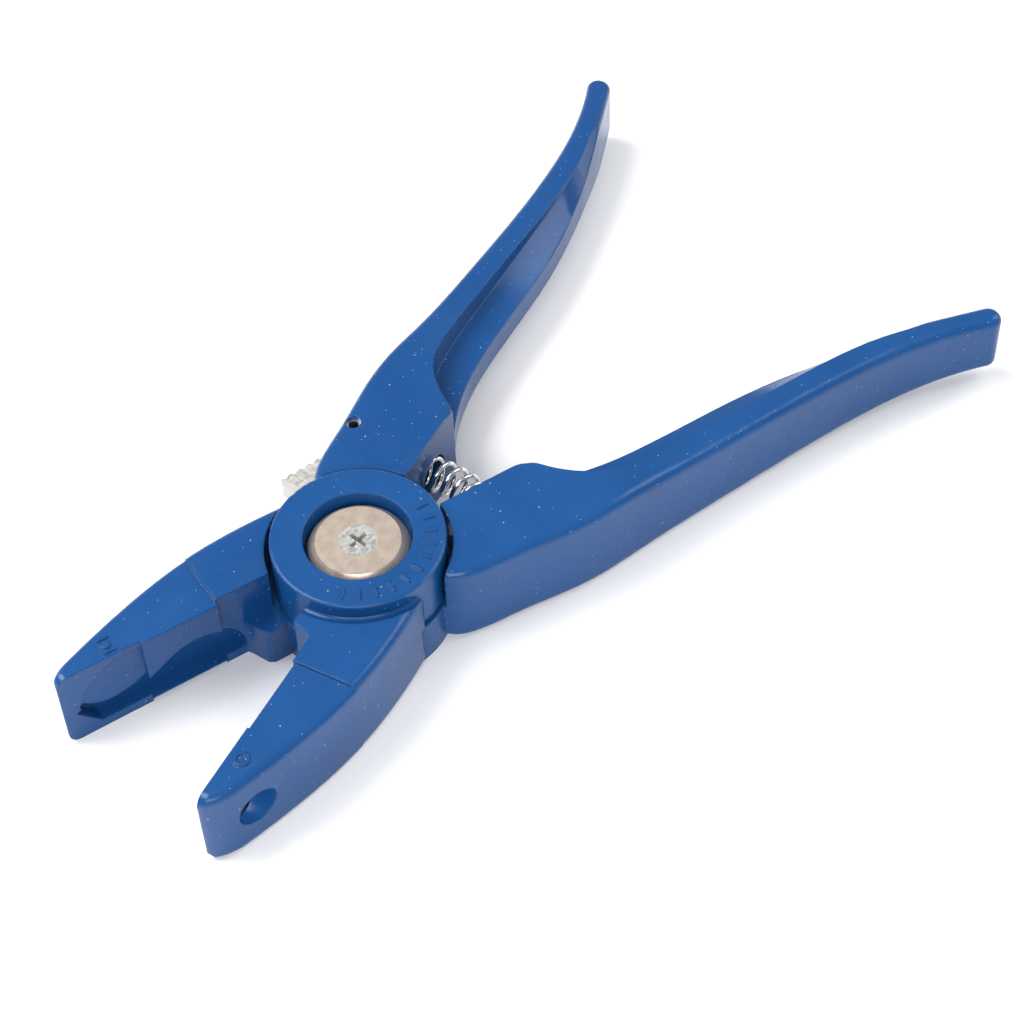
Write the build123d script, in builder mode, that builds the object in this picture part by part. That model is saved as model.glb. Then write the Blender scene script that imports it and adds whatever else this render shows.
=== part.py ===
"""Ear-tag applicator pliers: two crossed cast levers on a lap pivot, held open by a coil spring.

Millimetres, +Z up.  The origin is on the pivot axis, on the flat underside of the hub.
-X runs to the jaws, +X to the handles, and the tool lies open, halfway between the levers.
Each lever is drawn on a plane of its own, turned so that the closed tool's centre line is
that plane's X axis.  The disc lever has its handle on +Y, the socket lever is its mirror image.
"""
import os
from math import cos, pi, radians, sin

from build123d import *

# ---------------------------------------------------------------- driving dimensions
OPEN_ANGLE = 29.5          # turn of one lever against the other, from open to closed
THICKNESS = 19.4           # jaw root and handle root, top to bottom
MID = THICKNESS / 2        # height of the lap joint
LAP_GAP = 0.5              # between the two halves of the lap, filled by the thrust washer
LAP_TOP = MID + LAP_GAP / 2       # underside of the disc lever's half of the lap
LAP_BOTTOM = MID - LAP_GAP / 2    # top of the socket lever's half
DISC_R = 16.4              # raised hub disc of the disc lever
DISC_TOP = 21.8
LOWER_DISC_R = 17.0        # hub disc of the socket lever
LAP_CLEARANCE = 0.6        # around each hub disc
GROOVE_R = 17.2            # groove round the foot of the raised disc
GROOVE_SECTION_R = 1.0
UPPER_CLEARANCE = 1.1      # around the raised disc, in the socket lever
HUB_FILLET = 0.5
RUNNING = 0.05             # radial clearance of turning pieces

# jaws
JAW_TOP = THICKNESS - 0.6  # the jaws step down a little in front of the hub
JAW_STEP_X = -28.2         # step between root and middle of a jaw
TIP_STEP_X = -43.8         # step between middle and tip of a jaw
TIP_X = -60.8
NOSE_SIZE = (1.3, 2.6)     # the nose rounds off over this much of the tip
NOSE_ROUND = 2.2           # rounding of the nose's corners in side view
JAW_FILLET = 1.5
F_ROOT_Y = 2.7             # distance of the inner faces from the closed centre line
F_MIDDLE_Y = 3.1
F_TIP_Y = 2.7
M_ROOT_Y = 3.4
M_MIDDLE_Y = 2.5
M_TIP_Y = 3.3
LOWER_LIP = 1.9            # height of the lip below the tag slot
LIP_SETBACK = 1.3
F_SLOT_DEPTH = 2.6
M_SLOT_DEPTH = 3.6
RECESS_DEPTH = 0.7
SOCKET_X = -52.2           # through hole in the tip of the disc lever's jaw
SOCKET_Z = 9.5
SOCKET_R = 3.9
SOCKET_BORE_R = 5.6        # counterbore on its inner side
SOCKET_BORE_DEPTH = 1.5

# handles
BLOCK_CORNER_X = 37.0
F_WALL_Y = 0.4             # inner walls of the two spring blocks
M_WALL_Y = 0.2
END_X = 137.0
END_CORNER_R = 2.4
HANDLE_FILLET = 1.8

# pivot
POST_R = 6.0
POST_FLANGE_R = 10.0
POST_FLANGE_H = 2.0
POST_TOP = 17.6
POST_CHAMFER = 0.4
POCKET_R = 10.2
POCKET_FLOOR = 17.2
CAP_R = 9.4
CAP_TOP = 20.6
CAP_CHAMFER = 1.4
WAVE_WASHER_R = 8.6
SCREW_HEAD_R = 3.6
SCREW_R = 2.0
SCREW_END = 8.0
DRIVE_SIZE = (3.9, 0.8)    # cross recess
DRIVE_DEPTH = 1.3

# return spring
SPRING_PATH_R = 28.6       # the spring bends round the pivot at this radius
SPRING_COIL_R = 3.1        # middle of the wire
SPRING_WIRE_R = 0.48
SPRING_Z = MID - 1.0       # height of the spring and of its two holes
SPRING_TURNS = 12
SPRING_HOLE_R = 4.0
SPRING_HOLE_DEPTH = 6.0
SPRING_SEAT = SPRING_WIRE_R + 0.1
POINTS_PER_TURN = 12

# latch
LATCH_PIVOT = (25.4, 15.8)
LATCH_BOTTOM = MID - 2.7
LATCH_TOP = MID + 2.7
LATCH_SLOT_GAP = 0.3
LATCH_EYE_R = 3.0
LATCH_PIN_R = 1.5
LATCH_PIN_BORE_R = 1.0
LATCH_PIN_BOTTOM = 3.0
LATCH_PIN_TOP = THICKNESS - 0.9
LATCH_PIN_SLIT = 0.35
SERRATION_END = (23.0, 19.2)
SERRATIONS = 6
SERRATION_DEPTH = 0.7
NOTCH_ANGLE = 54.8         # notch in the rim of the socket lever's disc
NOTCH_WIDTH = 3.6
NOTCH_DEPTH = 1.8

# plain raised marks
MARK_HEIGHT = 0.3
BAR_COUNT = 11
BAR_START = -147.0
BAR_END = -17.0
BAR_R = 13.5
BAR_SIZE = (2.6, 0.6)
RING_PLACE = (-50.0, -5.3)
RING_R = (1.5, 0.95)
DOT_PLACE = (-49.4, 5.9)
DOT_R = 0.9
DOT_BARS_Y = 1.6

# ---------------------------------------------------------------- plan outlines
# drawn for the disc lever: its jaw is on -Y, its handle on +Y
JAW_OUTER = [(-5.2, -16.4), (-14, -16.7), (-27.6, -15.8), (-43.5, -12.0), (-55.5, -7.8)]
HANDLE_OUTER = [(8.6, 13.8), (10.8, 16.0), (15, 17.3), (24, 18.0), (38, 19.2), (52, 18.2),
                (75, 16.6), (103, 15.7), (119, 16.8), (END_X, 21.6)]
HANDLE_INNER = [(END_X, 16.0), (124, 12.2), (107, 8.0), (87, 5.2), (65, 5.0), (50, 4.2)]
BAND_INNER = [(41.2, 6.0), (46, 9.6), (55, 11.4), (70, 11.2), (88, 10.5), (103, 10.2),
              (112, 10.9), (122, 12.9), (132, 15.2)]
F_NOSE = [(-22.3, -4.5), (-22.3, -2.7), (-20.7, 1.7), (-10, 1.7), (-10, -4.5)]
M_NOSE = [(-24.2, -4.2), (-23.1, -2.5), (-21.6, 1.0), (-20.5, 1.6), (-10, 1.7), (-10, -4.2)]
LATCH_SLOT = [(5.8, 26), (5.8, 16.9), (9.0, 14.4), (21.4, 12.5), (25.4, 12.2), (29, 13.8),
              (29, 26)]
LATCH_OUTLINE = [(23.6, 13.3), (11.4, 17.2), (8.9, 18.2), (8.9, 19.5), (11.5, 20.4),
                 (11.8, 24.6)]
# top of the middle flange: x, inner edge y and height, band y and height; the heights are
# above the middle of the thickness and the underside is the mirror image
FLANGE_SECTIONS = [
    (30, 0.0, 2.6, 5.0, 2.8), (55, 4.4, 2.6, 11.4, 3.4), (70, 5.0, 2.6, 11.2, 4.2),
    (85, 5.1, 2.6, 10.6, 5.1), (100, 6.6, 2.7, 10.2, 6.1), (110, 8.7, 3.4, 10.7, 7.4),
    (134, 14.9, 8.0, 15.7, 8.6),
]
# side view of the handle: top and bottom from the root to the end
HANDLE_TOP = [(44, THICKNESS), (50, 19.0), (58, 18.2), (70, 17.6), (105, 16.9), (END_X + 2, 16.8)]
HANDLE_BOTTOM = [(END_X + 2, 3.2), (95, 0.9), (50, 0)]
# inner face of a jaw, seen from the centre line: x, z
SLOT_ARCH = [(-23.8, 2.2), (-25.6, 8.6), (-34.2, 12.6), (-44.5, 7.7), (-51, 6.0), (-56.5, 8.6)]
SLOT_END = [(-58.4, 7.4), (-54, 2.2)]
RECESS_ARCH = [(TIP_STEP_X, 16.8), (-49, 17.0), (-54, 14.2), (-57.6, 8.6)]
RECESS_END = (-55, 3.4)

os.makedirs("parts", exist_ok=True)


def lever_plane(flip):
    """Plane of one lever in the open tool: flip is 1 for the disc lever, -1 for its mate."""
    return Plane.XY.rotated((0, 0, flip * OPEN_ANGLE / 2))


def side_plane(flip, y):
    """Upright plane along a lever: X along the lever, Y up, seen from the lever's own -Y."""
    flat = lever_plane(flip)
    origin = flat.from_local_coords(Vector(0, y, 0))
    return Plane(origin=origin, x_dir=flat.x_dir, z_dir=-flat.y_dir)


def mirrored(points, flip):
    """Plan points of a lever, mirrored about the centre line for the mate."""
    return [(x, flip * y) for x, y in points]


def jaw_outline(flip, inner_edge):
    """Plan of a jaw; inner_edge runs from behind the nose to the hub."""
    with BuildSketch() as outline:
        with BuildLine():
            outer = Spline(*mirrored(JAW_OUTER, flip))
            tip_y = inner_edge[0][1]
            nose = mirrored([(TIP_X + NOSE_SIZE[0], tip_y - NOSE_SIZE[1]), (TIP_X, tip_y)], flip)
            Spline(outer @ 1, nose[0], nose[1], tangents=[outer % 1, (0.1, flip)])
            Polyline(nose[1], *mirrored(inner_edge, flip), outer @ 0)
        make_face()
    return outline.sketch


def handle_outline(flip, wall_y):
    """Plan of a handle with its spring block and middle flange."""
    with BuildSketch() as outline:
        with BuildLine():
            outer = Spline(*mirrored(HANDLE_OUTER, flip))
            inner = Spline(*mirrored(HANDLE_INNER + [(BLOCK_CORNER_X, wall_y)], flip))
            Line(outer @ 1, inner @ 0)
            Polyline(inner @ 1, (8, flip * wall_y), outer @ 0)
        make_face()
        fillet(outline.vertices().group_by(Axis.X)[-1], END_CORNER_R)
    return outline.sketch


def side_profile():
    """Side view of a lever: stepped jaw, thick root, handle that thins to its end."""
    with BuildSketch() as outline:
        with BuildLine():
            Polyline(
                (TIP_X - 2, 0), (TIP_X - 2, JAW_TOP), (JAW_STEP_X, JAW_TOP),
                (JAW_STEP_X, THICKNESS), (44, THICKNESS),
            )
            top = Spline(*HANDLE_TOP, tangents=[(1, 0), (1, 0)])
            bottom = Spline(*HANDLE_BOTTOM, tangents=[(-1, -0.05), (-1, 0)])
            Line(top @ 1, bottom @ 0)
            Line(bottom @ 1, (TIP_X - 2, 0))
        make_face()
    return outline.sketch


def band_cut(flip, wall_y):
    """Plan of what is cut away above and below the middle flange."""
    with BuildSketch() as outline:
        with BuildLine():
            band = Spline(*mirrored([(BLOCK_CORNER_X, wall_y)] + BAND_INNER, flip))
            Polyline(band @ 1, *mirrored([(132, -12), (BLOCK_CORNER_X, -12)], flip), band @ 0)
        make_face()
    return outline.sketch


def flange_section(flip, station, side):
    """Upright section of the cut over the flange (side 1) or under it (side -1)."""
    x, inner_y, inner_height, band_y, band_height = station
    beyond = (band_height - inner_height) / (band_y - inner_y)
    plane = lever_plane(flip)
    section_plane = Plane(plane.from_local_coords(Vector(x, 0, MID)), x_dir=plane.y_dir,
                          z_dir=plane.x_dir)
    corners = [
        (-20, inner_height), (inner_y, inner_height), (band_y + 2, band_height + 2 * beyond),
        (band_y + 2, 2 * MID), (-20, 2 * MID),
    ]
    with BuildSketch(section_plane) as section:
        with BuildLine():
            Polyline(*[(flip * y, side * z) for y, z in corners], close=True)
        make_face()
    return section.sketch.face()


def flange_cut(flip, wall_y, side):
    """What is cut away over the flange, or under it: sloping floor, upright band wall."""
    with BuildPart() as cut:
        loft([flange_section(flip, station, side) for station in FLANGE_SECTIONS], ruled=True)
        with BuildSketch(lever_plane(flip)):
            add(band_cut(flip, wall_y))
        extrude(amount=2 * THICKNESS, both=True, mode=Mode.INTERSECT)
    return cut.part


# ---------------------------------------------------------------- shared shapes of the levers
def rim(part):
    """The curved edges round the top and the bottom of an extruded outline."""
    curved = part.edges().filter_by(GeomType.LINE, reverse=True)
    return curved.filter_by(lambda edge: abs((edge @ 0.5).Z - MID) > MID / 3)


def jaw_front(flip, middle_y, tip_y):
    """Front of a jaw, a little lower than its root, with soft outer edges."""
    flat = lever_plane(flip)
    steps = [(TIP_STEP_X, tip_y), (TIP_STEP_X, middle_y), (-8, middle_y)]
    outline = jaw_outline(flip, steps)
    with BuildPart() as front:
        with BuildSketch(flat):
            add(outline)
            with Locations((JAW_STEP_X + 30, 0)):
                Rectangle(60, 80, mode=Mode.SUBTRACT)
        extrude(amount=JAW_TOP)
        fillet(rim(front.part), JAW_FILLET)
        with BuildSketch(side_plane(flip, 0)) as side_view:
            with Locations((TIP_X / 2, JAW_TOP / 2)):
                Rectangle(-TIP_X, JAW_TOP)
            fillet(side_view.vertices().group_by(Axis.X)[0], NOSE_ROUND)
        extrude(amount=40, both=True, mode=Mode.INTERSECT)
    return front.part


def root_and_handle(flip, root_y, wall_y):
    """Jaw root, spring block and handle of a lever, T in section along the grip."""
    flat = lever_plane(flip)
    jaw = jaw_outline(flip, [(JAW_STEP_X, root_y), (-8, root_y)])
    cuts = [flange_cut(flip, wall_y, side) for side in (1, -1)]
    with BuildPart() as handle:
        with BuildSketch(flat):
            add(jaw)
            with Locations((JAW_STEP_X - 30, 0)):
                Rectangle(60, 80, mode=Mode.SUBTRACT)
            add(handle_outline(flip, wall_y))
        extrude(amount=THICKNESS)
        with BuildSketch(side_plane(flip, 0)):
            add(side_profile())
        extrude(amount=40, both=True, mode=Mode.INTERSECT)
        fillet(rim(handle.part), HANDLE_FILLET)
        for cut in cuts:
            add(cut, mode=Mode.SUBTRACT)
    return handle.part


def hub_disc(radius, bottom, top):
    """A plain disc on the pivot axis."""
    with BuildPart() as disc:
        with BuildSketch(Plane.XY.offset(bottom)):
            Circle(radius)
        extrude(amount=top - bottom)
    return disc.part


def stop_nose(flip, points, bottom, top):
    """Small nose on the inner side of the hub, on a lever's own half of the lap."""
    with BuildPart() as nose:
        with BuildSketch(lever_plane(flip).offset(bottom)):
            with BuildLine():
                Polyline(*mirrored(points, flip), close=True)
            make_face()
        extrude(amount=top - bottom)
        fillet(nose.edges().filter_by(Axis.Z), 0.6)
    return nose.part


def spring_hole(flip, wall_y):
    """Blind hole for one end of the return spring, in the inner wall of the block."""
    with BuildPart() as hole:
        with BuildSketch(side_plane(flip, flip * wall_y)):
            with Locations((SPRING_PATH_R, SPRING_Z)):
                Circle(SPRING_HOLE_R)
        extrude(amount=-flip * SPRING_HOLE_DEPTH)
    return hole.part


def tag_slot(flip, face_y, depth):
    """Long arched slot in the inner face of a jaw, where the tag's arm lies."""
    with BuildPart() as slot:
        with BuildSketch(side_plane(flip, -flip * face_y)):
            with BuildLine():
                arch = Spline(*SLOT_ARCH)
                Polyline(arch @ 1, *SLOT_END, arch @ 0)
            make_face()
        extrude(amount=flip * depth)
    return slot.part


def tip_recess(flip, face_y, depth):
    """Shallow recess round the tag's plate, in the inner face of a jaw's tip."""
    with BuildPart() as recess:
        with BuildSketch(side_plane(flip, -flip * face_y)):
            with BuildLine():
                edge = Spline(*RECESS_ARCH)
                Polyline(edge @ 1, RECESS_END, (TIP_STEP_X, RECESS_END[1]), edge @ 0)
            make_face()
        extrude(amount=flip * depth)
    return recess.part


# ---------------------------------------------------------------- disc lever
flat_f = lever_plane(1)
front_f = jaw_front(1, -F_MIDDLE_Y, -F_TIP_Y)
handle_f = root_and_handle(1, -F_ROOT_Y, F_WALL_Y)
disc_f = hub_disc(DISC_R, LAP_TOP, DISC_TOP)
nose_f = stop_nose(1, F_NOSE, LAP_TOP, THICKNESS)
spring_hole_f = spring_hole(1, F_WALL_Y)
slot_f = tag_slot(1, F_MIDDLE_Y, F_SLOT_DEPTH)

with BuildPart() as groove_f:
    with BuildSketch(Plane.XZ):
        with Locations((GROOVE_R, THICKNESS)):
            Circle(GROOVE_SECTION_R)
    revolve(axis=Axis.Z)

with BuildPart() as lever_f:
    add(handle_f)
    add(hub_disc(LOWER_DISC_R + LAP_CLEARANCE, 0, LAP_TOP), mode=Mode.SUBTRACT)
    add(front_f)
    add(nose_f)
    add(groove_f.part, mode=Mode.SUBTRACT)
    add(disc_f)
    fillet(lever_f.edges().group_by(Axis.Z)[-1], HUB_FILLET)
    # centre bore and the pocket of the cap
    with Locations((0, 0, DISC_TOP)):
        Hole(POST_R + RUNNING, depth=DISC_TOP)
    with BuildSketch(Plane.XY.offset(DISC_TOP)):
        Circle(POCKET_R)
    extrude(amount=POCKET_FLOOR - DISC_TOP, mode=Mode.SUBTRACT)
    add(spring_hole_f, mode=Mode.SUBTRACT)
    # latch slot and the hole of its pin
    with BuildSketch(flat_f.offset(LATCH_BOTTOM - LATCH_SLOT_GAP)):
        with BuildLine():
            Polyline(*LATCH_SLOT, close=True)
        make_face()
    extrude(amount=LATCH_TOP - LATCH_BOTTOM + 2 * LATCH_SLOT_GAP, mode=Mode.SUBTRACT)
    with BuildSketch(flat_f.offset(THICKNESS)):
        with Locations(LATCH_PIVOT):
            Circle(LATCH_PIN_R)
    extrude(amount=LATCH_PIN_BOTTOM - THICKNESS, mode=Mode.SUBTRACT)
    # tag slot and the through hole in the tip
    add(slot_f, mode=Mode.SUBTRACT)
    with BuildSketch(side_plane(1, 5)):
        with Locations((SOCKET_X, SOCKET_Z)):
            Circle(SOCKET_R)
    extrude(amount=40, mode=Mode.SUBTRACT)
    with BuildSketch(side_plane(1, -F_TIP_Y)):
        with Locations((SOCKET_X, SOCKET_Z)):
            Circle(SOCKET_BORE_R)
    extrude(amount=SOCKET_BORE_DEPTH, mode=Mode.SUBTRACT)
    # plain raised bars round the disc, and a ring on the jaw
    for bar in range(BAR_COUNT):
        angle = BAR_START + (BAR_END - BAR_START) * bar / (BAR_COUNT - 1)
        spot = Plane.XY.offset(DISC_TOP) * Location((0, 0, 0), (0, 0, angle))
        with BuildSketch(spot):
            with Locations((BAR_R, 0)):
                SlotOverall(*BAR_SIZE)
        extrude(amount=MARK_HEIGHT)
    with BuildSketch(flat_f.offset(JAW_TOP)):
        with Locations(RING_PLACE):
            Circle(RING_R[0])
            Circle(RING_R[1], mode=Mode.SUBTRACT)
    extrude(amount=MARK_HEIGHT)
lever_f.part.label = "lever_f"

# ---------------------------------------------------------------- socket lever
flat_m = lever_plane(-1)
front_m = jaw_front(-1, -M_MIDDLE_Y, -M_TIP_Y)
handle_m = root_and_handle(-1, -M_ROOT_Y, M_WALL_Y)
disc_m = hub_disc(LOWER_DISC_R, 0, LAP_BOTTOM)
nose_m = stop_nose(-1, M_NOSE, 0, LAP_BOTTOM)
spring_hole_m = spring_hole(-1, M_WALL_Y)
slot_m = tag_slot(-1, M_MIDDLE_Y, M_SLOT_DEPTH)
recess_m = tip_recess(-1, M_MIDDLE_Y, M_TIP_Y - M_MIDDLE_Y + RECESS_DEPTH)

with BuildPart() as lever_m:
    add(handle_m)
    add(hub_disc(DISC_R + UPPER_CLEARANCE, LAP_BOTTOM, DISC_TOP), mode=Mode.SUBTRACT)
    add(front_m)
    add(nose_m)
    add(disc_m)
    with Locations((0, 0, LAP_BOTTOM)):
        Hole(POST_R + RUNNING, depth=LAP_BOTTOM)
    with BuildSketch():
        Circle(POST_FLANGE_R + 2 * RUNNING)
    extrude(amount=POST_FLANGE_H + 2 * RUNNING, mode=Mode.SUBTRACT)
    add(spring_hole_m, mode=Mode.SUBTRACT)
    add(slot_m, mode=Mode.SUBTRACT)
    add(recess_m, mode=Mode.SUBTRACT)
    # the lower lip of the tag slot stands back a little
    with BuildSketch(flat_m):
        with Locations(((JAW_STEP_X + TIP_STEP_X) / 2, M_MIDDLE_Y)):
            Rectangle(JAW_STEP_X - TIP_STEP_X, 2 * LIP_SETBACK)
    extrude(amount=LOWER_LIP, mode=Mode.SUBTRACT)
    # notch that the latch drops into when the tool is closed
    with BuildSketch(flat_m * Location((0, 0, 0), (0, 0, NOTCH_ANGLE))):
        with Locations((LOWER_DISC_R, 0)):
            Rectangle(2 * NOTCH_DEPTH, NOTCH_WIDTH)
    extrude(amount=LAP_BOTTOM, mode=Mode.SUBTRACT)
    with BuildSketch(flat_m.offset(JAW_TOP)):
        with Locations(DOT_PLACE):
            Circle(DOT_R)
            with Locations((0, -DOT_BARS_Y), (0, DOT_BARS_Y)):
                SlotOverall(*BAR_SIZE)
    extrude(amount=MARK_HEIGHT)
lever_m.part.label = "lever_m"

# ---------------------------------------------------------------- pivot
with BuildPart() as pivot_post:
    with BuildSketch():
        Circle(POST_FLANGE_R)
    extrude(amount=POST_FLANGE_H)
    with BuildSketch(Plane.XY.offset(POST_FLANGE_H)):
        Circle(POST_R)
    extrude(amount=POST_TOP - POST_FLANGE_H)
    with BuildSketch(Plane.XY.offset(POST_TOP)):
        Circle(SCREW_R)
    extrude(amount=SCREW_END - 1 - POST_TOP, mode=Mode.SUBTRACT)
    chamfer(pivot_post.edges().group_by(Axis.Z)[0], POST_CHAMFER)
pivot_post.part.label = "pivot_post"

with BuildPart() as thrust_washer:
    with BuildSketch(Plane.XY.offset(LAP_BOTTOM + RUNNING)):
        Circle(DISC_R - 2)
        Circle(POST_R + 0.1, mode=Mode.SUBTRACT)
    extrude(amount=LAP_GAP - RUNNING)
thrust_washer.part.label = "thrust_washer"

with BuildPart() as wave_washer:
    with BuildSketch(Plane.XY.offset(POCKET_FLOOR)):
        Circle(WAVE_WASHER_R)
        Circle(POST_R + 0.5, mode=Mode.SUBTRACT)
    extrude(amount=POST_TOP - POCKET_FLOOR)
wave_washer.part.label = "wave_washer"

with BuildPart() as pivot_cap:
    with BuildSketch(Plane.XY.offset(POST_TOP)):
        Circle(CAP_R)
    extrude(amount=CAP_TOP - POST_TOP)
    chamfer(pivot_cap.edges().group_by(Axis.Z)[-1], CAP_CHAMFER)
    with Locations((0, 0, CAP_TOP)):
        CounterSinkHole(SCREW_R, SCREW_HEAD_R, counter_sink_angle=90)
pivot_cap.part.label = "pivot_cap"

with BuildPart() as pivot_screw:
    with BuildSketch(Plane.XZ):
        with BuildLine():
            Polyline(
                (0, SCREW_END), (SCREW_R, SCREW_END),
                (SCREW_R, CAP_TOP - (SCREW_HEAD_R - SCREW_R)), (SCREW_HEAD_R, CAP_TOP),
                (0, CAP_TOP), close=True,
            )
        make_face()
    revolve(axis=Axis.Z)
    with BuildSketch(Plane.XY.offset(CAP_TOP)):
        Rectangle(*DRIVE_SIZE)
        Rectangle(*reversed(DRIVE_SIZE))
    extrude(amount=-DRIVE_DEPTH, taper=12, mode=Mode.SUBTRACT)
pivot_screw.part.label = "pivot_screw"

# ---------------------------------------------------------------- return spring
def spring_axis(distance):
    """Point and side direction on the spring's bent axis, by distance from its middle."""
    half_arc = SPRING_PATH_R * radians(OPEN_ANGLE / 2)
    along = max(-half_arc, min(half_arc, distance))
    turn = along / SPRING_PATH_R
    beyond = distance - along
    out = Vector(cos(turn), sin(turn), 0)
    forward = Vector(-sin(turn), cos(turn), 0)
    return SPRING_PATH_R * out + beyond * forward + Vector(0, 0, SPRING_Z), out


def spring_point(fraction):
    """Point on the middle of the spring's wire, by fraction of its length."""
    half_arc = SPRING_PATH_R * radians(OPEN_ANGLE / 2)
    start = -half_arc - SPRING_HOLE_DEPTH - M_WALL_Y + SPRING_SEAT
    end = half_arc + SPRING_HOLE_DEPTH + F_WALL_Y - SPRING_SEAT
    centre, out = spring_axis(start + (end - start) * fraction)
    phase = 2 * pi * SPRING_TURNS * fraction
    return centre + SPRING_COIL_R * (cos(phase) * out + sin(phase) * Vector(0, 0, 1))


spring_points = [
    spring_point(step / (SPRING_TURNS * POINTS_PER_TURN))
    for step in range(SPRING_TURNS * POINTS_PER_TURN + 1)
]
with BuildPart() as return_spring:
    with BuildLine() as wire:
        Spline(*spring_points)
    with BuildSketch(Plane(origin=wire.line @ 0, z_dir=wire.line % 0)):
        Circle(SPRING_WIRE_R)
    sweep(is_frenet=True)
return_spring.part.label = "return_spring"

# ---------------------------------------------------------------- latch
def serrated(start, end, count, depth):
    """Saw-tooth line between two points."""
    run = Vector(*end) - Vector(*start)
    inward = Vector(run.Y, -run.X).normalized() * depth
    points = []
    for tooth in range(count):
        points.append(Vector(*start) + run * (tooth / count))
        points.append(Vector(*start) + run * ((tooth + 0.35) / count) + inward)
    return points


with BuildPart() as latch:
    with BuildSketch(flat_f.offset(LATCH_BOTTOM)):
        with BuildLine():
            teeth = serrated(LATCH_OUTLINE[-1], SERRATION_END, SERRATIONS, SERRATION_DEPTH)
            Polyline(*LATCH_OUTLINE[:-1], *teeth, SERRATION_END, LATCH_PIVOT, close=True)
        make_face()
        with Locations(LATCH_PIVOT):
            Circle(LATCH_EYE_R)
            Circle(LATCH_PIN_R + RUNNING, mode=Mode.SUBTRACT)
    extrude(amount=LATCH_TOP - LATCH_BOTTOM)
latch.part.label = "latch"

with BuildPart() as latch_pin:
    with BuildSketch(flat_f.offset(LATCH_PIN_BOTTOM)):
        with Locations(LATCH_PIVOT):
            Circle(LATCH_PIN_R)
            Circle(LATCH_PIN_BORE_R, mode=Mode.SUBTRACT)
        with Locations((LATCH_PIVOT[0], LATCH_PIVOT[1] - LATCH_PIN_R)):
            Rectangle(LATCH_PIN_SLIT, LATCH_PIN_R, mode=Mode.SUBTRACT)
    extrude(amount=LATCH_PIN_TOP - LATCH_PIN_BOTTOM)
latch_pin.part.label = "latch_pin"

# ---------------------------------------------------------------- write the pieces
PIECES = [
    lever_f, lever_m, pivot_post, thrust_washer, wave_washer, pivot_cap, pivot_screw,
    return_spring, latch, latch_pin,
]
for piece in PIECES:
    solids = piece.part.solids()
    print(piece.part.label, len(solids), piece.part.is_valid, round(piece.part.volume, 1))
    export_step(piece.part, f"parts/{piece.part.label}.step")
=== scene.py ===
"""Looks of the ear-tag applicator pliers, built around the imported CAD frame.

Metres, +Z up, the pivot axis on Z.  The CAD nodes keep their shapes and get procedural
materials.  The return spring is replaced by a finer coil that bends between the two levers.
"""

from math import cos, pi, radians, sin

import bpy
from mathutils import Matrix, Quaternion, Vector


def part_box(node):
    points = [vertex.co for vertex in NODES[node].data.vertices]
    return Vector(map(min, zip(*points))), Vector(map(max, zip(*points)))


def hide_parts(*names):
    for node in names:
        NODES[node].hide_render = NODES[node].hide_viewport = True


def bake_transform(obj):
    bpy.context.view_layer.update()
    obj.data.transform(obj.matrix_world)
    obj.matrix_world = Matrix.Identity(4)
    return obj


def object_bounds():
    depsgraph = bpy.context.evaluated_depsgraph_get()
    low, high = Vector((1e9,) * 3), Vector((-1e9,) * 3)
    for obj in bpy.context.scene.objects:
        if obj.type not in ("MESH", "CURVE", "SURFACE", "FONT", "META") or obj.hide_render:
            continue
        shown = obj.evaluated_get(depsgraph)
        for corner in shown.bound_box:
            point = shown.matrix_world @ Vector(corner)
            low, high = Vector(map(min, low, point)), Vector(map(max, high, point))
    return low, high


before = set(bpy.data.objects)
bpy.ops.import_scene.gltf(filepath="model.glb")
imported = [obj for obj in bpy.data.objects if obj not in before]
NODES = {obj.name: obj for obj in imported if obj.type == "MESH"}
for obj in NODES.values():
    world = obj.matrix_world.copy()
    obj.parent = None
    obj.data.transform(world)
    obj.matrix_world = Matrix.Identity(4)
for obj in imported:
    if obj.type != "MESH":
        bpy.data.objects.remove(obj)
cad_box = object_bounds()
MM = 0.001


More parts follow.
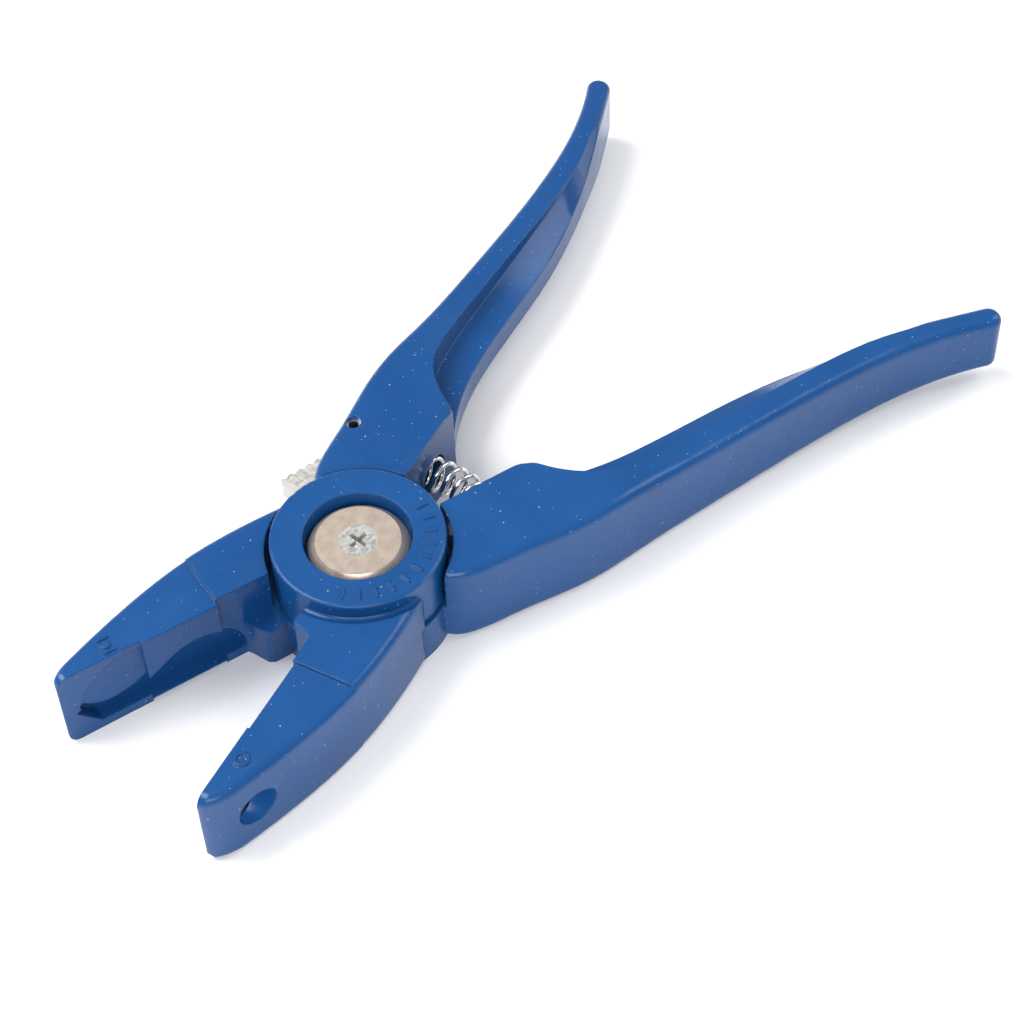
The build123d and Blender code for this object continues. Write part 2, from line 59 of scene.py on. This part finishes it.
# ---------------------------------------------------------------- node helpers
class Shader:
    """A material's node tree, with short calls for the nodes used here."""

    def __init__(self, name):
        self.material = bpy.data.materials.new(name)
        self.material.use_nodes = True
        self.tree = self.material.node_tree
        self.surface = self.tree.nodes["Principled BSDF"]
        self.place = self.node("ShaderNodeTexCoord").outputs["Object"]

    def node(self, kind, **settings):
        made = self.tree.nodes.new(kind)
        for key, value in settings.items():
            setattr(made, key, value)
        return made

    def feed(self, socket, value):
        """Links a socket, or sets it where value is a plain number or colour."""
        if isinstance(value, bpy.types.NodeSocket):
            self.tree.links.new(value, socket)
        else:
            socket.default_value = value

    def math(self, operation, a, b=0.0, clamp=False):
        made = self.node("ShaderNodeMath", operation=operation, use_clamp=clamp)
        self.feed(made.inputs[0], a)
        self.feed(made.inputs[1], b)
        return made.outputs[0]

    def noise(self, scale, detail=2.0, roughness=0.5, distortion=0.0, place=None):
        made = self.node("ShaderNodeTexNoise")
        self.feed(made.inputs["Vector"], place or self.place)
        self.feed(made.inputs["Scale"], scale)
        self.feed(made.inputs["Detail"], detail)
        self.feed(made.inputs["Roughness"], roughness)
        self.feed(made.inputs["Distortion"], distortion)
        return made.outputs["Fac"]

    def ramp(self, value, low, high, at_low=0.0, at_high=1.0):
        """Maps value from low..high to at_low..at_high, clamped and smooth."""
        made = self.node("ShaderNodeMapRange", interpolation_type="SMOOTHSTEP")
        for socket, setting in zip(made.inputs, (value, low, high, at_low, at_high)):
            self.feed(socket, setting)
        return made.outputs[0]

    def mix(self, share, first, second):
        made = self.node("ShaderNodeMix", data_type="RGBA")
        self.feed(made.inputs["Factor"], share)
        self.feed(made.inputs["A"], first)
        self.feed(made.inputs["B"], second)
        return made.outputs["Result"]

    def bump(self, height, distance, normal=None):
        made = self.node("ShaderNodeBump")
        self.feed(made.inputs["Height"], height)
        self.feed(made.inputs["Distance"], distance)
        if normal is not None:
            self.feed(made.inputs["Normal"], normal)
        return made.outputs["Normal"]

    def soft_edges(self, radius):
        """Normal that rounds off sharp edges by a small radius."""
        made = self.node("ShaderNodeBevel", samples=4)
        self.feed(made.inputs["Radius"], radius)
        return made.outputs["Normal"]

    def specks(self, scale, size, share):
        """Round spots: 1 inside a few of the cells of a random scatter, 0 outside."""
        cells = self.node("ShaderNodeTexVoronoi")
        self.feed(cells.inputs["Vector"], self.place)
        self.feed(cells.inputs["Scale"], scale)
        near = self.ramp(cells.outputs["Distance"], size, size * 0.5)
        parts = self.node("ShaderNodeSeparateColor")
        self.feed(parts.inputs[0], cells.outputs["Color"])
        chosen = self.math("GREATER_THAN", parts.outputs[0], 1 - share)
        return self.math("MULTIPLY", near, chosen)

    def radius(self):
        """Distance from the pivot axis."""
        parts = self.node("ShaderNodeSeparateXYZ")
        self.feed(parts.inputs[0], self.place)
        across = self.math("MULTIPLY", parts.outputs[0], parts.outputs[0])
        along = self.math("MULTIPLY", parts.outputs[1], parts.outputs[1])
        return self.math("SQRT", self.math("ADD", across, along))

    def rings(self, scale):
        """Fine turning marks round the pivot axis."""
        made = self.node("ShaderNodeTexNoise", noise_dimensions="1D")
        self.feed(made.inputs["W"], self.math("MULTIPLY", self.radius(), scale))
        self.feed(made.inputs["Scale"], 1.0)
        self.feed(made.inputs["Detail"], 3.0)
        return made.outputs["Fac"]

    def finish(self, **sockets):
        for name, value in sockets.items():
            self.feed(self.surface.inputs[name.replace("_", " ")], value)
        return self.material


ENAMEL_DEEP = (0.0055, 0.056, 0.195, 1)
ENAMEL_LIGHT = (0.0075, 0.066, 0.222, 1)
SPECK_COLOUR = (0.40, 0.56, 0.78, 1)
SPECK_STRENGTH = 0.6
EDGE_RADIUS = 0.5 * MM         # the enamel rounds off the casting's edges
WAVE_HEIGHT = 0.12 * MM
PEEL_HEIGHT = 0.012 * MM
SPECK_HEIGHT = 0.04 * MM


def blue_enamel():
    """Glossy enamel over a casting: slow waves, orange peel and small raised pale specks."""
    s = Shader("blue_enamel")
    cloud = s.noise(45, detail=3)
    tone = s.mix(s.ramp(cloud, 0.3, 0.7), ENAMEL_DEEP, ENAMEL_LIGHT)
    specks = s.specks(scale=560, size=0.11, share=0.13)
    dust = s.specks(scale=1300, size=0.17, share=0.10)
    pale = s.math("MAXIMUM", specks, dust)
    colour = s.mix(s.math("MULTIPLY", pale, SPECK_STRENGTH), tone, SPECK_COLOUR)
    wave = s.bump(s.noise(70, detail=1), WAVE_HEIGHT, s.soft_edges(EDGE_RADIUS))
    peel = s.bump(s.noise(620, detail=2), PEEL_HEIGHT, wave)
    normal = s.bump(pale, SPECK_HEIGHT, peel)
    rough = s.ramp(s.noise(160, detail=4), 0.25, 0.75, 0.13, 0.24)
    return s.finish(Base_Color=colour, Roughness=rough, IOR=1.45, Normal=normal,
                    Specular_IOR_Level=0.38)


STAIN_SHADE = 0.90             # stained metal, as a share of the clean colour
RING_HEIGHT = 0.006 * MM
GRAIN_SHADE = 0.8
NICK_DEPTH = 0.03 * MM
WIRE_LINE_HEIGHT = 0.004 * MM


def turned_metal(name, colour, roughness, ring_scale=2600, metallic=1.0):
    """Metal faced on a lathe: rings round the pivot axis under faint stains."""
    s = Shader(name)
    rings = s.rings(ring_scale)
    stain = s.noise(420, detail=5)
    dark = tuple(c * STAIN_SHADE for c in colour)
    tone = s.mix(s.ramp(stain, 0.45, 0.9), (*colour, 1), (*dark, 1))
    tone = s.mix(s.ramp(rings, 0.5, 0.8, 0, 0.5), tone, (*dark, 1))
    normal = s.bump(rings, RING_HEIGHT)
    rough = s.ramp(s.noise(500, detail=3), 0.3, 0.7, roughness * 0.85, roughness * 1.25)
    return s.finish(Base_Color=tone, Metallic=metallic, Roughness=rough, Normal=normal)


def cast_metal(name, colour, roughness, grain=1400, depth=0.01 * MM):
    """Plated casting or forging: fine even grain with a few small nicks."""
    s = Shader(name)
    fine = s.noise(grain, detail=3)
    broad = s.noise(220, detail=2)
    dark = tuple(c * GRAIN_SHADE for c in colour)
    tone = s.mix(s.ramp(broad, 0.3, 0.75), (*colour, 1), (*dark, 1))
    nicks = s.specks(scale=700, size=0.16, share=0.08)
    normal = s.bump(nicks, -NICK_DEPTH, s.bump(fine, depth))
    rough = s.ramp(fine, 0.3, 0.7, roughness * 0.8, roughness * 1.3)
    return s.finish(Base_Color=tone, Metallic=1.0, Roughness=rough, Normal=normal)


def drawn_wire():
    """Bright drawn spring wire with faint draw lines."""
    s = Shader("spring_wire")
    lines = s.noise(2400, detail=2, distortion=0.4)
    stain = s.noise(300, detail=2)
    tone = s.mix(s.ramp(stain, 0.4, 0.8), (0.78, 0.78, 0.77, 1), (0.62, 0.61, 0.60, 1))
    rough = s.ramp(lines, 0.3, 0.7, 0.10, 0.20)
    return s.finish(Base_Color=tone, Metallic=1.0, Roughness=rough,
                    Normal=s.bump(lines, WIRE_LINE_HEIGHT))


ENAMEL = blue_enamel()
NICKEL = turned_metal("nickel", (0.57, 0.48, 0.40), 0.28, metallic=0.65)
STEEL = turned_metal("turned_steel", (0.56, 0.55, 0.54), 0.34, ring_scale=1800)
ZINC_SCREW = cast_metal("zinc_screw", (0.72, 0.72, 0.71), 0.34)
ZINC_LATCH = cast_metal("zinc_latch", (0.76, 0.73, 0.69), 0.38, depth=0.02 * MM)
WIRE = drawn_wire()

FINISHES = {
    "lever_f": ENAMEL, "lever_m": ENAMEL, "pivot_post": STEEL, "thrust_washer": STEEL,
    "wave_washer": STEEL, "pivot_cap": NICKEL, "pivot_screw": ZINC_SCREW,
    "return_spring": WIRE, "latch": ZINC_LATCH, "latch_pin": STEEL,
}
for node_name, finish in FINISHES.items():
    node = NODES[node_name]
    for material_slot in node.material_slots:
        material_slot.link = "OBJECT"
        material_slot.material = finish


# ---------------------------------------------------------------- return spring
OPEN_ANGLE = radians(29.5)
SPRING_PATH_R = 28.6 * MM      # the coil bends round the pivot axis at this radius
COIL_R = 3.1 * MM              # middle of the wire
WIRE_R = 0.48 * MM
TURNS = 12
GROUND_TURNS = 0.75            # the last part of a turn at each end lies flat
STEPS_PER_TURN = 40
WIRE_SIDES = 14
END_MARGIN = 2 * WIRE_R        # the axis stops this far inside the CAD spring's box
CLOSING_PITCH = 1.4 * WIRE_R   # advance of the flat part of a turn at each end


def spring_line():
    """Axis of the bent coil: a function of distance, and its two ends."""
    low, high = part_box("return_spring")
    middle = (low.z + high.z) / 2
    half_arc = SPRING_PATH_R * OPEN_ANGLE / 2
    turn_end = OPEN_ANGLE / 2
    reach = (high.y - END_MARGIN - SPRING_PATH_R * sin(turn_end)) / cos(turn_end)

    def axis(distance):
        along = max(-half_arc, min(half_arc, distance))
        turn = along / SPRING_PATH_R
        out = Vector((cos(turn), sin(turn), 0))
        forward = Vector((-sin(turn), cos(turn), 0))
        return SPRING_PATH_R * out + (distance - along) * forward + Vector((0, 0, middle)), out

    return axis, -half_arc - reach, half_arc + reach


def tube(name, points, radius, sides):
    """Closed tube of a round wire along points, with flat ends."""
    verts, faces = [], []
    normal = None
    for index, point in enumerate(points):
        before = points[max(index - 1, 0)]
        after = points[min(index + 1, len(points) - 1)]
        tangent = (after - before).normalized()
        if normal is None:
            normal = tangent.orthogonal().normalized()
        normal = (normal - tangent * normal.dot(tangent)).normalized()
        other = tangent.cross(normal)
        for side in range(sides):
            angle = 2 * pi * side / sides
            verts.append(point + radius * (cos(angle) * normal + sin(angle) * other))
    for ring in range(len(points) - 1):
        for side in range(sides):
            a = ring * sides + side
            b = ring * sides + (side + 1) % sides
            faces.append((a, b, b + sides, a + sides))
    faces.append(tuple(reversed(range(sides))))
    faces.append(tuple(range(len(verts) - sides, len(verts))))
    mesh = bpy.data.meshes.new(name)
    mesh.from_pydata(verts, [], faces)
    mesh.shade_smooth()
    piece = bpy.data.objects.new(name, mesh)
    bpy.context.scene.collection.objects.link(piece)
    return piece


def make_spring():
    """The fine coil, bent round the pivot and stretched between the two levers."""
    axis, start, end = spring_line()
    points = []
    total = TURNS * STEPS_PER_TURN
    flat = GROUND_TURNS / TURNS
    for step in range(total + 1):
        share = step / total
        along = max(0.0, min(1.0, (share - flat) / (1 - 2 * flat)))
        closing = (share - flat - along * (1 - 2 * flat)) / flat
        distance = start + (end - start) * along + closing * CLOSING_PITCH
        centre, out = axis(distance)
        phase = 2 * pi * TURNS * share
        points.append(centre + COIL_R * (cos(phase) * out + sin(phase) * Vector((0, 0, 1))))
    spring = tube("return_spring_coil", points, WIRE_R, WIRE_SIDES)
    spring.data.materials.append(WIRE)
    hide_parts("return_spring")
    axis(end)[0]
    axis(start)[0]
    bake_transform(spring)
    return spring


make_spring()

# ---------------------------------------------------------------- floor, light, camera
FLOOR_SIZE = 6.0
FLOOR_TONES = ((0.90, 0.90, 0.90, 1), (0.92, 0.92, 0.92, 1))
FLOOR_ROUGHNESS = 0.9
WORLD_STRENGTH = 0.45
# name, place from the middle of the tool, size, power
LIGHTS = [
    ("key", (-0.25, 0.45, 0.75), (0.6, 0.6), 9),
    ("fill", (-0.6, -0.5, 0.6), (0.8, 0.5), 6),
    ("side", (0.7, -0.3, 0.6), (0.5, 0.7), 3.5),
]
CAMERA_AZIMUTH = -45.553
CAMERA_ELEVATION = 50.984
CAMERA_ROLL = -2.449
CAMERA_PLACE = (-0.1914, -0.2277, 0.3923)
CAMERA_LENS = 90.8
CAMERA_SENSOR = 36


def plain_floor():
    half = FLOOR_SIZE / 2
    mesh = bpy.data.meshes.new("floor")
    corners = [(-half, -half, 0), (half, -half, 0), (half, half, 0), (-half, half, 0)]
    mesh.from_pydata(corners, [], [(0, 1, 2, 3)])
    floor = bpy.data.objects.new("floor", mesh)
    bpy.context.scene.collection.objects.link(floor)
    s = Shader("floor")
    tone = s.mix(s.noise(3), *FLOOR_TONES)
    floor.data.materials.append(s.finish(Base_Color=tone, Roughness=FLOOR_ROUGHNESS))


def area_light(name, place, target, size, power):
    data = bpy.data.lights.new(name, "AREA")
    data.shape = "RECTANGLE"
    data.size, data.size_y = size
    data.energy = power
    light = bpy.data.objects.new(name, data)
    light.location = place
    light.rotation_mode = "QUATERNION"
    light.rotation_quaternion = (Vector(target) - Vector(place)).to_track_quat("-Z", "Y")
    bpy.context.scene.collection.objects.link(light)


def studio():
    low, high = cad_box
    middle = (low + high) / 2
    for name, offset, size, power in LIGHTS:
        area_light(name, middle + Vector(offset), middle, size, power)
    world = bpy.data.worlds.new("studio")
    world.use_nodes = True
    background = world.node_tree.nodes["Background"]
    background.inputs["Color"].default_value = (1, 1, 1, 1)
    background.inputs["Strength"].default_value = WORLD_STRENGTH
    bpy.context.scene.world = world
    bpy.context.scene.view_settings.view_transform = "Standard"


def photo_camera():
    data = bpy.data.cameras.new("camera")
    data.lens = CAMERA_LENS
    data.sensor_width = CAMERA_SENSOR
    data.clip_start, data.clip_end = 0.01, 20
    camera = bpy.data.objects.new("camera", data)
    turn, rise = radians(CAMERA_AZIMUTH), radians(CAMERA_ELEVATION)
    forward = Vector((-sin(turn) * cos(rise), cos(turn) * cos(rise), -sin(rise)))
    camera.location = CAMERA_PLACE
    camera.rotation_mode = "QUATERNION"
    roll = Quaternion((0, 0, 1), radians(CAMERA_ROLL))
    camera.rotation_quaternion = forward.to_track_quat("-Z", "Y") @ roll
    bpy.context.scene.collection.objects.link(camera)
    bpy.context.scene.camera = camera


plain_floor()
studio()
photo_camera()
